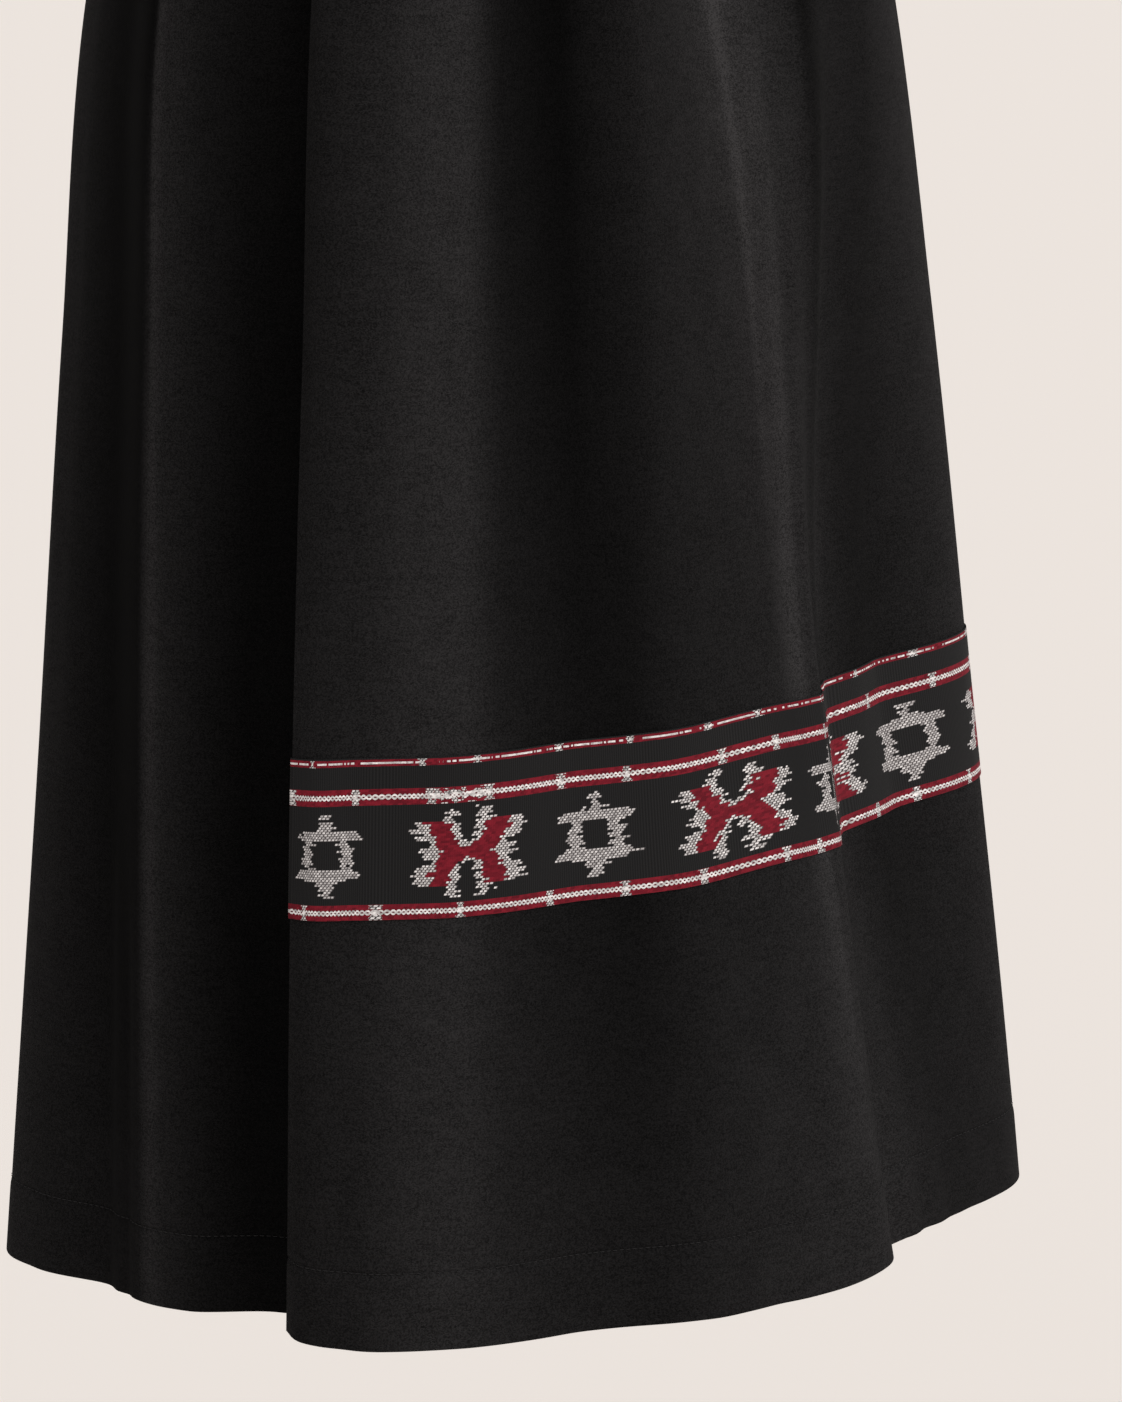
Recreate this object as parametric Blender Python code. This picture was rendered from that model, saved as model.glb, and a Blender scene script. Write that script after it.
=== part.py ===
"""Woven wrap skirt: three flared panels, a folded waistband, a button and a patterned band.

Metres, +Z up, the front faces -Y and the origin is the centre of the waist at its top edge.
Every piece of cloth is a wall on one common surface. That surface is a plain oval ring at each
drop below the waist, and a table of folds moves it out and in as it goes round. It starts at
the free edge of the front panel and runs past a full turn, so the under panel's last stretch
lies inside the front panel's first.
"""

from collections import namedtuple

import bpy
import numpy as np

MILLIMETRE = 0.001

# Lengths down from the top of the waist.
LENGTH = 0.900
WAISTBAND_DEPTH = 0.035
HIP_DROP = 0.210
MIDDLE_DROP = 0.585
HEM_DEPTH = 0.042
BAND_TOP_DROP = 0.5860
BAND_DEPTH = 0.0845

# Thicknesses and clearances.
WALL = 0.0016
HEM_WALL = 0.0030
HEM_STEP = 0.003
BAND_WALL = 0.0011
WAISTBAND_WALL = 0.0015
CLEAR = 0.0003
BAND_RETURN = 0.014

# Colours (linear) and roughness.
BLACK_CLOTH = (0.012, 0.012, 0.013)
IKAT_CLOTH = (0.060, 0.035, 0.036)
BLACK_BUTTON = (0.014, 0.014, 0.015)
CLOTH_ROUGHNESS = 0.85
BUTTON_ROUGHNESS = 0.38

# Waist button.
BUTTON_DIAMETER = 0.017
BUTTON_THICK = 0.0030
BUTTON_RIM = 0.0010
BUTTON_DISH = 0.0011
BUTTON_SIDES = 32
BUTTON_PLACE = 1.45
HOLE_COUNT = 4
HOLE_DIAMETER = 0.0020
HOLE_SPREAD = 0.0046
HOLE_SIDES = 10

# The plain oval ring at each drop.
Level = namedtuple("Level", "drop half_width half_depth across")
LEVELS = tuple(Level(*row) for row in (
    (0.000, 0.1300, 0.1000, 0.000),
    (0.035, 0.1340, 0.1040, 0.000),
    (0.110, 0.1780, 0.1360, -0.008),
    (0.210, 0.2140, 0.1600, -0.014),
    (0.400, 0.2360, 0.1720, -0.010),
    (0.650, 0.2610, 0.1830, -0.004),
    (0.900, 0.2850, 0.1950, 0.000),
))

# One row for each crest, hollow or slope. Angles go from the front to the wearer's left, in
# degrees: where it lies at the hip and at the hem, and how far it is turned from the line
# between them at the middle drop. The others are millimetres out of the plain ring.
Fold = namedtuple("Fold", "name hip_angle middle_turn hem_angle waist hip middle hem")
FOLDS = tuple(Fold(*row) for row in (
    ("free edge", -55.0, 3.5, -58.0, 0.0, -11.0, 13.2, -25.0),
    ("edge roll", -52.5, 2.7, -53.5, 0.0, -1.0, 14.4, -6.0),
    ("front crest", -39.0, -0.3, -43.0, 0.5, 9.0, 7.9, 6.0),
    ("front crest side", -29.0, -0.2, -33.0, -1.0, 5.0, 5.9, 4.0),
    ("front hollow", -12.0, -0.4, -12.0, -3.0, -17.0, -12.3, -7.0),
    ("front plain", 3.0, -1.5, 6.0, 0.0, -3.0, -12.9, 1.0),
    ("front rise", 12.0, 10.4, 28.0, 0.5, 4.0, -28.2, 2.0),
    ("left crest", 20.0, 4.7, 42.0, 0.5, 9.0, -27.3, -7.0),
    ("left crest turn", 26.5, 4.0, 47.0, 0.0, 4.0, -27.1, -19.0),
    ("left fold back", 34.0, 6.0, 50.5, -0.5, 4.0, -42.0, -28.0),
    ("left hollow", 53.0, -1.6, 58.0, -3.0, -13.0, -47.0, -26.0),
    ("left slope", 62.0, 2.4, 67.0, -1.0, -5.0, -42.7, -16.0),
    ("left side crest", 78.0, 7.2, 79.0, 0.5, 3.0, 12.7, 9.0),
    ("left seam", 98.0, 0.0, 97.0, -1.0, -2.0, -4.0, -2.0),
    ("back crest one", 112.0, 0.0, 112.0, 0.5, 7.0, 7.0, 8.0),
    ("back hollow one", 127.0, 0.0, 127.0, -3.0, -11.0, -10.0, -12.0),
    ("back crest two", 143.0, 0.0, 142.0, 0.5, 6.0, 8.0, 12.0),
    ("back hollow two", 158.0, 0.0, 159.0, -3.0, -13.0, -12.0, -10.0),
    ("back crest three", 174.0, 0.0, 176.0, 0.5, 8.0, 9.0, 10.0),
    ("back hollow three", 190.0, 0.0, 191.0, -3.0, -10.0, -13.0, -17.0),
    ("back crest four", 206.0, 0.0, 207.0, 0.5, 7.0, 9.0, 11.0),
    ("back hollow four", 221.0, 0.0, 222.0, -3.0, -9.0, -12.0, -14.0),
    ("right seam", 236.0, 0.0, 238.0, 0.0, 3.0, 2.0, 1.0),
    ("right side crest", 247.0, 0.0, 256.0, 0.5, 8.0, 8.0, 8.0),
    ("right side slope", 257.0, 0.0, 264.0, -0.5, -3.0, -5.0, -8.0),
    ("right hollow", 269.0, 0.0, 273.5, -3.0, -14.0, -25.0, -37.0),
    ("right crest", 279.5, 0.0, 281.0, -1.0, -7.0, -19.0, -34.0),
    ("right crest front", 285.0, 0.0, 287.0, -2.0, -10.0, -22.0, -37.0),
    ("under slope", 294.0, 0.0, 296.0, -5.5, -22.0, -38.0, -54.0),
    ("under hollow", 310.0, 0.0, 310.0, -6.3, -25.0, -34.0, -44.0),
    ("under end", 322.0, 0.0, 322.0, -6.3, -16.0, -24.0, -34.0),
))

# Which rows each panel runs between, and how many columns it has.
Panel = namedtuple("Panel", "name first_fold last_fold columns")
PANELS = (
    Panel("front_panel", "free edge", "left seam", 66),
    Panel("back_panel", "left seam", "right seam", 50),
    Panel("under_panel", "right seam", "under end", 44),
)
PANEL_DROPS = (0.0018, 0.018, 0.035, 0.055, 0.080, 0.110, 0.150, 0.210, 0.280, 0.360, 0.440, 0.520)
LOWER_DROPS = (0.730, 0.795)
BAND_STRIPS = 2

# Steps for taking the surface's directions.
PLACE_STEP = 0.02
DROP_STEP = 0.002


def monotone(x, knots, values):
    """Smooth curve through the knots that never swings past a crest or a hollow."""
    knots = np.asarray(knots, float)
    values = np.asarray(values, float)
    step = np.diff(knots).reshape((-1,) + (1,) * (values.ndim - 1))
    rise = np.diff(values, axis=0) / step
    slope = np.zeros_like(values)
    slope[0], slope[-1] = rise[0], rise[-1]
    before, after = rise[:-1], rise[1:]
    wide, narrow = 2.0 * step[1:] + step[:-1], step[1:] + 2.0 * step[:-1]
    same = before * after > 0.0
    safe_before = np.where(same, before, 1.0)
    safe_after = np.where(same, after, 1.0)
    slope[1:-1] = np.where(same, (wide + narrow) / (wide / safe_before + narrow / safe_after), 0.0)
    x = np.asarray(x, float)
    place = np.clip(np.searchsorted(knots, x) - 1, 0, len(knots) - 2)
    shape = x.shape + (1,) * (values.ndim - 1)
    length = step[place].reshape(shape)
    t = ((x - knots[place]) / np.diff(knots)[place]).reshape(shape)
    start = (1.0 + 2.0 * t) * (1.0 - t) ** 2 * values[place] + t * (1.0 - t) ** 2 * length * slope[place]
    end = t * t * (3.0 - 2.0 * t) * values[place + 1] + t * t * (t - 1.0) * length * slope[place + 1]
    return start + end


def fold_number(name):
    """Place of a named fold in the table."""
    return [fold.name for fold in FOLDS].index(name)


def named_panel(name):
    """Row of the panel table with this name."""
    return PANELS[[panel.name for panel in PANELS].index(name)]


def cloth_points(places, drops):
    """Grid of points of the common surface, one row for each drop and one column for each place."""
    table = monotone(places, np.arange(len(FOLDS)), [fold[1:] for fold in FOLDS])
    hip_angle, middle_turn, hem_angle, outs = table[:, 0], table[:, 1], table[:, 2], table[:, 3:]
    share = ((drops - HIP_DROP) / (LENGTH - HIP_DROP))[:, None]
    hump = monotone(np.maximum(drops, HIP_DROP), (HIP_DROP, MIDDLE_DROP, LENGTH), (0.0, 1.0, 0.0))
    angle = np.radians(hip_angle * (1.0 - share) + hem_angle * share + middle_turn * hump[:, None])
    out_drops = (WAISTBAND_DEPTH, HIP_DROP, MIDDLE_DROP, LENGTH)
    out = monotone(np.maximum(drops, WAISTBAND_DEPTH), out_drops, outs.T) * MILLIMETRE
    level = monotone(drops, [ring.drop for ring in LEVELS], [ring[1:] for ring in LEVELS])
    wide, deep, across = level[:, 0:1], level[:, 1:2], level[:, 2:3]
    radius = wide * deep / np.hypot(deep * np.sin(angle), wide * np.cos(angle)) + out
    x = across + radius * np.sin(angle)
    y = -radius * np.cos(angle)
    z = np.broadcast_to(-drops[:, None], x.shape)
    return np.stack([x, y, z], axis=-1)


def cloth_frame(places, drops):
    """Outer points of the common surface, with its outward and forward directions there."""
    along = cloth_points(places + PLACE_STEP, drops) - cloth_points(places - PLACE_STEP, drops)
    down = cloth_points(places, drops + DROP_STEP) - cloth_points(places, drops - DROP_STEP)
    normal = np.cross(down, along)
    normal = normal / np.linalg.norm(normal, axis=-1, keepdims=True)
    forward = along / np.linalg.norm(along, axis=-1, keepdims=True)
    return cloth_points(places, drops), normal, forward


def panel_drops():
    """Every drop that the panels have a row of points at."""
    band = np.linspace(BAND_TOP_DROP, BAND_TOP_DROP + BAND_DEPTH, BAND_STRIPS + 1)
    hem = (LENGTH - HEM_DEPTH - HEM_STEP, LENGTH - HEM_DEPTH, LENGTH)
    return np.concatenate([PANEL_DROPS, band, LOWER_DROPS, hem])


def panel_places(panel):
    """Places in the fold table of a panel's columns of points."""
    return np.linspace(fold_number(panel.first_fold), fold_number(panel.last_fold), panel.columns)


def panel_grid(name):
    """Outer points and outward directions of a named panel."""
    panel = named_panel(name)
    points, normals, forward = cloth_frame(panel_places(panel), panel_drops())
    if panel.first_fold.endswith("seam"):
        points[:, 0] += 0.5 * CLEAR * forward[:, 0]
    if panel.last_fold.endswith("seam"):
        points[:, -1] -= 0.5 * CLEAR * forward[:, -1]
    return points, normals


def wall_depth(drops):
    """Thickness of a panel at each drop, doubled where the hem is turned up."""
    return np.where(drops >= LENGTH - HEM_DEPTH - 1e-6, HEM_WALL, WALL)[:, None, None]


def quads(corner, right, below, across):
    """Two triangles for each grid cell, always split the same way."""
    first = np.stack([corner, below, across], axis=-1).reshape(-1, 3)
    second = np.stack([corner, across, right], axis=-1).reshape(-1, 3)
    return np.concatenate([first, second])


def wall_mesh(outer, inner):
    """Closed mesh between two grids of points, with a strip round the rim."""
    rows, columns = outer.shape[:2]
    number = np.arange(rows * columns).reshape(rows, columns)
    back = number + rows * columns
    front_faces = quads(number[:-1, :-1], number[:-1, 1:], number[1:, :-1], number[1:, 1:])
    back_faces = quads(back[:-1, :-1], back[:-1, 1:], back[1:, :-1], back[1:, 1:])[:, ::-1]
    rim = np.concatenate([number[0, :-1], number[:-1, -1], number[-1, :0:-1], number[:0:-1, 0]])
    turn = np.roll(rim, -1)
    rim_faces = quads(rim, turn, rim + rows * columns, turn + rows * columns)[:, ::-1]
    points = np.concatenate([outer.reshape(-1, 3), inner.reshape(-1, 3)])
    return points, np.concatenate([front_faces, back_faces, rim_faces])


def loft_mesh(sections, cap_quads):
    """Closed mesh through closed sections, its ends shut with the given four-sided faces."""
    count, size = sections.shape[:2]
    number = np.arange(count * size).reshape(count, size)
    turned = np.roll(number, -1, axis=1)
    sides = quads(number[:-1], turned[:-1], number[1:], turned[1:])
    cap = np.concatenate([[(a, b, c), (a, c, d)] for a, b, c, d in cap_quads])
    faces = np.concatenate([sides, cap, cap[:, ::-1] + number[-1, 0]])
    return sections.reshape(-1, 3), faces


def plain_material(name, colour, roughness):
    """Material of one even colour and roughness."""
    material = bpy.data.materials.new(name)
    material.use_nodes = True
    shader = material.node_tree.nodes["Principled BSDF"]
    shader.inputs["Base Color"].default_value = (*colour, 1.0)
    shader.inputs["Roughness"].default_value = roughness
    shader.inputs["Metallic"].default_value = 0.0
    return material


def add_piece(name, points, faces, material):
    """Named object of triangles with one material."""
    mesh = bpy.data.meshes.new(name)
    mesh.from_pydata(points.tolist(), [], faces.tolist())
    mesh.materials.append(material)
    mesh.validate()
    piece = bpy.data.objects.new(name, mesh)
    bpy.context.scene.collection.objects.link(piece)
    return piece


def make_panel(panel, material):
    """One panel of the skirt: a wall from the waist to its turned-up hem."""
    points, normals = panel_grid(panel.name)
    inner = points - normals * wall_depth(panel_drops())
    add_piece(panel.name, *wall_mesh(points, inner), material)


def band_rows():
    """Rows of the panels that the patterned band covers."""
    drops = panel_drops()
    reach = (drops > BAND_TOP_DROP - 1e-6) & (drops < BAND_TOP_DROP + BAND_DEPTH + 1e-6)
    return np.flatnonzero(reach)


def make_front_band(material):
    """Patterned band on the front panel, its cut end turned round the free edge."""
    points, normals = panel_grid("front_panel")
    points, normals = points[band_rows()], normals[band_rows()]
    girth = np.cumsum(np.linalg.norm(np.diff(points[0], axis=0), axis=-1))
    inside = int(np.searchsorted(girth, BAND_RETURN)) + 1
    edge = points[:, 0] - points[:, 1]
    edge = edge / np.linalg.norm(edge, axis=-1, keepdims=True)
    layers = []
    for lift in (CLEAR + BAND_WALL, CLEAR):
        behind = points[:, inside:0:-1] - normals[:, inside:0:-1] * (WALL + lift)
        corner_in = points[:, 0] - normals[:, 0] * (WALL + lift) + edge * lift
        corner_out = points[:, 0] + normals[:, 0] * lift + edge * lift
        before = points[:, 1:] + normals[:, 1:] * lift
        layers.append(np.concatenate([behind, corner_in[:, None], corner_out[:, None], before], axis=1))
    add_piece("front_ikat_band", *wall_mesh(*layers), material)


def make_back_band(material):
    """Patterned band carried on round the back panel."""
    points, normals = panel_grid("back_panel")
    points, normals = points[band_rows()], normals[band_rows()]
    outer = points + normals * (CLEAR + BAND_WALL)
    add_piece("back_ikat_band", *wall_mesh(outer, points + normals * CLEAR), material)


def waist_places():
    """Places of every panel column, so that the waistband follows the panels' own points."""
    return np.unique(np.round(np.concatenate([panel_places(panel) for panel in PANELS]), 9))


def make_waistband(material):
    """Folded strip over the panels' top edges, open below and lapped like the panels."""
    places = waist_places()
    drops = np.array([0.0, WAISTBAND_WALL, WAISTBAND_DEPTH])
    points, normals, _ = cloth_frame(places, drops)
    flat = normals[1:2] * (1.0, 1.0, 0.0)
    flat = flat / np.linalg.norm(flat, axis=-1, keepdims=True)
    out, back = CLEAR, -(WALL + CLEAR)
    profile = (
        (2, out + WAISTBAND_WALL), (0, out + WAISTBAND_WALL), (0, back - WAISTBAND_WALL),
        (2, back - WAISTBAND_WALL), (2, back), (1, back), (1, out), (2, out),
    )
    corners = [points[row] + flat[0] * offset for row, offset in profile]
    sections = np.stack(corners, axis=1)
    cap_quads = np.array([(0, 1, 6, 7), (1, 2, 5, 6), (2, 3, 4, 5)])
    add_piece("waistband", *loft_mesh(sections, cap_quads), material)


def disc_rings(radius, sides, level):
    """Ring of points round the button's axis."""
    turn = np.arange(sides) * 2.0 * np.pi / sides
    return np.stack([radius * np.cos(turn), radius * np.sin(turn), np.full(sides, level)], axis=-1)


def make_button(material):
    """Flat four-hole button on the waistband's lap, cut as one turned disc with its holes."""
    points, normals, _ = cloth_frame(np.array([BUTTON_PLACE]), np.array([0.5 * WAISTBAND_DEPTH]))
    normal = normals[0, 0]
    side = np.cross((0.0, 0.0, 1.0), normal)
    side = side / np.linalg.norm(side)
    up = np.cross(normal, side)
    bulge = BUTTON_DIAMETER ** 2 / (8.0 * LEVELS[0].half_depth)
    stand_off = CLEAR + WAISTBAND_WALL + CLEAR + bulge
    frame = np.stack([side, up, normal])
    base = points[0, 0] + normal * stand_off
    outline = (
        (0.5 * BUTTON_DIAMETER - BUTTON_RIM, 0.0),
        (0.5 * BUTTON_DIAMETER, 0.35 * BUTTON_THICK),
        (0.5 * BUTTON_DIAMETER - 0.3 * BUTTON_RIM, BUTTON_THICK),
        (0.5 * BUTTON_DIAMETER - 1.6 * BUTTON_RIM, BUTTON_THICK),
        (0.5 * BUTTON_DIAMETER - 2.3 * BUTTON_RIM, BUTTON_THICK - BUTTON_DISH),
    )
    rings = np.concatenate([disc_rings(radius, BUTTON_SIDES, level) for radius, level in outline])
    number = np.arange(len(rings)).reshape(len(outline), BUTTON_SIDES)
    turned = np.roll(number, -1, axis=1)
    faces = quads(number[:-1], turned[:-1], number[1:], turned[1:])[:, ::-1]
    centres = np.array([(0.0, 0.0, 0.0), (0.0, 0.0, BUTTON_THICK - BUTTON_DISH)])
    low, high = len(rings), len(rings) + 1
    bottom = np.stack([turned[0], number[0], np.full(BUTTON_SIDES, low)], axis=-1)
    top = np.stack([number[-1], turned[-1], np.full(BUTTON_SIDES, high)], axis=-1)
    disc = add_piece(
        "waist_button", np.concatenate([rings, centres]) @ frame + base,
        np.concatenate([faces, bottom, top]), material,
    )
    cut_holes(disc, frame, base, material)


def cut_holes(disc, frame, base, material):
    """Cut the thread holes through the button."""
    for number in range(HOLE_COUNT):
        turn = (number + 0.5) * 2.0 * np.pi / HOLE_COUNT
        centre = np.array([np.cos(turn), np.sin(turn), 0.0]) * 0.5 * HOLE_SPREAD
        low = disc_rings(0.5 * HOLE_DIAMETER, HOLE_SIDES, -BUTTON_THICK) + centre
        high = disc_rings(0.5 * HOLE_DIAMETER, HOLE_SIDES, 2.0 * BUTTON_THICK) + centre
        ids = np.arange(HOLE_SIDES)
        after = np.roll(ids, -1)
        sides = quads(ids, after, ids + HOLE_SIDES, after + HOLE_SIDES)[:, ::-1]
        fan = np.stack([np.zeros(HOLE_SIDES - 2, int), ids[1:-1], ids[2:]], axis=-1)
        points = np.concatenate([low, high]) @ frame + base
        drill = add_piece("drill", points, np.concatenate([sides, fan[:, ::-1], fan + HOLE_SIDES]), material)
        cut = disc.modifiers.new("hole", "BOOLEAN")
        cut.operation = "DIFFERENCE"
        cut.solver = "EXACT"
        cut.object = drill
        bpy.context.view_layer.update()
        shown = disc.evaluated_get(bpy.context.evaluated_depsgraph_get())
        cleaned = bpy.data.meshes.new_from_object(shown)
        disc.modifiers.clear()
        disc.data = cleaned
        bpy.data.objects.remove(drill, do_unlink=True)


def main():
    """Clear the scene and make every piece."""
    for thing in list(bpy.data.objects):
        bpy.data.objects.remove(thing, do_unlink=True)
    for panel in PANELS:
        make_panel(panel, plain_material(panel.name + " cloth", BLACK_CLOTH, CLOTH_ROUGHNESS))
    make_waistband(plain_material("waistband cloth", BLACK_CLOTH, CLOTH_ROUGHNESS))
    make_front_band(plain_material("front ikat cloth", IKAT_CLOTH, CLOTH_ROUGHNESS))
    make_back_band(plain_material("back ikat cloth", IKAT_CLOTH, CLOTH_ROUGHNESS))
    make_button(plain_material("button", BLACK_BUTTON, BUTTON_ROUGHNESS))


main()
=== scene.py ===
"""Long wrap skirt of soft black twill with a woven ikat band above its hem.

Metres, +Z up, the front faces -Y and the origin is the middle of the waist at its top edge.
Every piece of cloth is a thin shell on one common surface: a plain oval ring at each drop below
the waist, moved out and in by a table of folds and by a table of smaller creases.
"""

import logging
import math
from dataclasses import dataclass
from enum import Enum
from typing import Callable, NamedTuple

import bpy
import numpy as np
from mathutils import Euler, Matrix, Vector


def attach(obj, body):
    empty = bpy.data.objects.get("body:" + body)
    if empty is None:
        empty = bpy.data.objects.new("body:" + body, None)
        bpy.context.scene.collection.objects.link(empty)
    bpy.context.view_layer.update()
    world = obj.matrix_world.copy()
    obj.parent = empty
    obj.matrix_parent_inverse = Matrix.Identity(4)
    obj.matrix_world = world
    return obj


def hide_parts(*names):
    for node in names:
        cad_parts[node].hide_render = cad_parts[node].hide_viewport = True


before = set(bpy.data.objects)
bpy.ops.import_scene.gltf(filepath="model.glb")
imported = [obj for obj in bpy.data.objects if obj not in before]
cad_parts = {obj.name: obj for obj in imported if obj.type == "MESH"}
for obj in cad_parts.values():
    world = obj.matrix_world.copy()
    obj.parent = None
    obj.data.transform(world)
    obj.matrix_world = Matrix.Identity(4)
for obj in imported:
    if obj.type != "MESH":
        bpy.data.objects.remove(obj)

LOG = logging.getLogger("wrap skirt")
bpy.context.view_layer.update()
MILLIMETRE = 0.001


class Level(NamedTuple):
    """Plain oval ring at one drop below the waist, in metres."""

    drop: float
    half_width: float
    half_depth: float
    across: float


class Fold(NamedTuple):
    """One crest, hollow or slope: angles in degrees, the rest in millimetres out of the ring."""

    name: str
    hip_angle: float
    middle_turn: float
    hem_angle: float
    waist: float
    hip: float
    middle: float
    hem: float


class PaintedShading(NamedTuple):
    """Painted shading at a place: 0 painted shade deep in hollows, 1 pale, 2 a painted highlight on a sharp
    crest.
    """

    place: float
    hip: float
    middle: float
    hem: float


class Crease(NamedTuple):
    """Small soft ridge or trough: its place among the folds, its run down the cloth in metres,
    its lean in places a metre, its depth in millimetres and its half width in places."""

    place: float
    top: float
    bottom: float
    lean: float
    depth: float
    width: float


class Stitch(NamedTuple):
    """Row of stitches: spacing, length and thickness in metres."""

    pitch: float
    length: float
    thick: float


class Figure(NamedTuple):
    """Where the band's pattern lies: a place among the folds and the repeats up to it."""

    place: float
    repeats: float


class Lamp(NamedTuple):
    """Soft sun: its strength, its width in degrees, and its tilt and turn in degrees."""

    name: str
    power: float
    size: float
    tilt: float
    turn: float


class Motif(Enum):
    """The two figures that take turns along the patterned band."""

    STAR = 0
    CROSS = 1


LENGTH = 0.900
WAISTBAND_DEPTH = 0.035
HIP_DROP = 0.210
MIDDLE_DROP = 0.585
HEM_DEPTH = 0.042
BAND_TOP_DROP = 0.5860
BAND_DEPTH = 0.0845

LEVELS = (
    Level(0.000, 0.1300, 0.1000, 0.000),
    Level(0.035, 0.1340, 0.1040, 0.000),
    Level(0.110, 0.1780, 0.1360, -0.008),
    Level(0.210, 0.2140, 0.1600, -0.014),
    Level(0.400, 0.2360, 0.1720, -0.010),
    Level(0.650, 0.2610, 0.1830, -0.004),
    Level(0.900, 0.2850, 0.1950, 0.000),
)

FOLDS = (
    Fold("free edge", -55.0, 3.5, -58.0, 0.0, -11.0, 13.2, -25.0),
    Fold("edge roll", -52.5, 2.7, -53.5, 0.0, -1.0, 14.4, -6.0),
    Fold("front crest", -39.0, -0.3, -43.0, 0.5, 9.0, 7.9, 6.0),
    Fold("front crest side", -29.0, -0.2, -33.0, -1.0, 5.0, 5.9, 4.0),
    Fold("front hollow", -12.0, -0.4, -12.0, -3.0, -17.0, -12.3, -7.0),
    Fold("front plain", 3.0, -1.5, 6.0, 0.0, -3.0, -12.9, 1.0),
    Fold("front rise", 12.0, 10.4, 28.0, 0.5, 4.0, -28.2, 2.0),
    Fold("left crest", 20.0, 4.7, 42.0, 0.5, 9.0, -27.3, -7.0),
    Fold("left crest turn", 26.5, 4.0, 47.0, 0.0, 4.0, -27.1, -19.0),
    Fold("left fold back", 34.0, 6.0, 50.5, -0.5, 4.0, -42.0, -28.0),
    Fold("left hollow", 53.0, -1.6, 58.0, -3.0, -13.0, -47.0, -26.0),
    Fold("left slope", 62.0, 2.4, 67.0, -1.0, -5.0, -42.7, -16.0),
    Fold("left side crest", 78.0, 7.2, 79.0, 0.5, 3.0, 12.7, 9.0),
    Fold("left seam", 98.0, 0.0, 97.0, -1.0, -2.0, -4.0, -2.0),
    Fold("back crest one", 112.0, 0.0, 112.0, 0.5, 7.0, 7.0, 8.0),
    Fold("back hollow one", 127.0, 0.0, 127.0, -3.0, -11.0, -10.0, -12.0),
    Fold("back crest two", 143.0, 0.0, 142.0, 0.5, 6.0, 8.0, 12.0),
    Fold("back hollow two", 158.0, 0.0, 159.0, -3.0, -13.0, -12.0, -10.0),
    Fold("back crest three", 174.0, 0.0, 176.0, 0.5, 8.0, 9.0, 10.0),
    Fold("back hollow three", 190.0, 0.0, 191.0, -3.0, -10.0, -13.0, -17.0),
    Fold("back crest four", 206.0, 0.0, 207.0, 0.5, 7.0, 9.0, 11.0),
    Fold("back hollow four", 221.0, 0.0, 222.0, -3.0, -9.0, -12.0, -14.0),
    Fold("right seam", 236.0, 0.0, 238.0, 0.0, 3.0, 2.0, 1.0),
    Fold("right side crest", 247.0, 0.0, 256.0, 0.5, 8.0, 8.0, 8.0),
    Fold("right side slope", 257.0, 0.0, 264.0, -0.5, -3.0, -5.0, -8.0),
    Fold("right hollow", 269.0, 0.0, 273.5, -3.0, -14.0, -25.0, -37.0),
    Fold("right crest", 279.5, 0.0, 281.0, -1.0, -7.0, -19.0, -34.0),
    Fold("right crest front", 285.0, 0.0, 287.0, -2.0, -10.0, -22.0, -37.0),
    Fold("under slope", 294.0, 0.0, 296.0, -5.5, -22.0, -38.0, -54.0),
    Fold("under hollow", 310.0, 0.0, 310.0, -6.3, -25.0, -34.0, -44.0),
    Fold("under end", 322.0, 0.0, 322.0, -6.3, -16.0, -24.0, -34.0),
)

# Painted shading round the skirt: painted shade in the hollows, painted highlights on the crests, along the
# silhouettes and in a sharp line at place 6.4.
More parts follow.
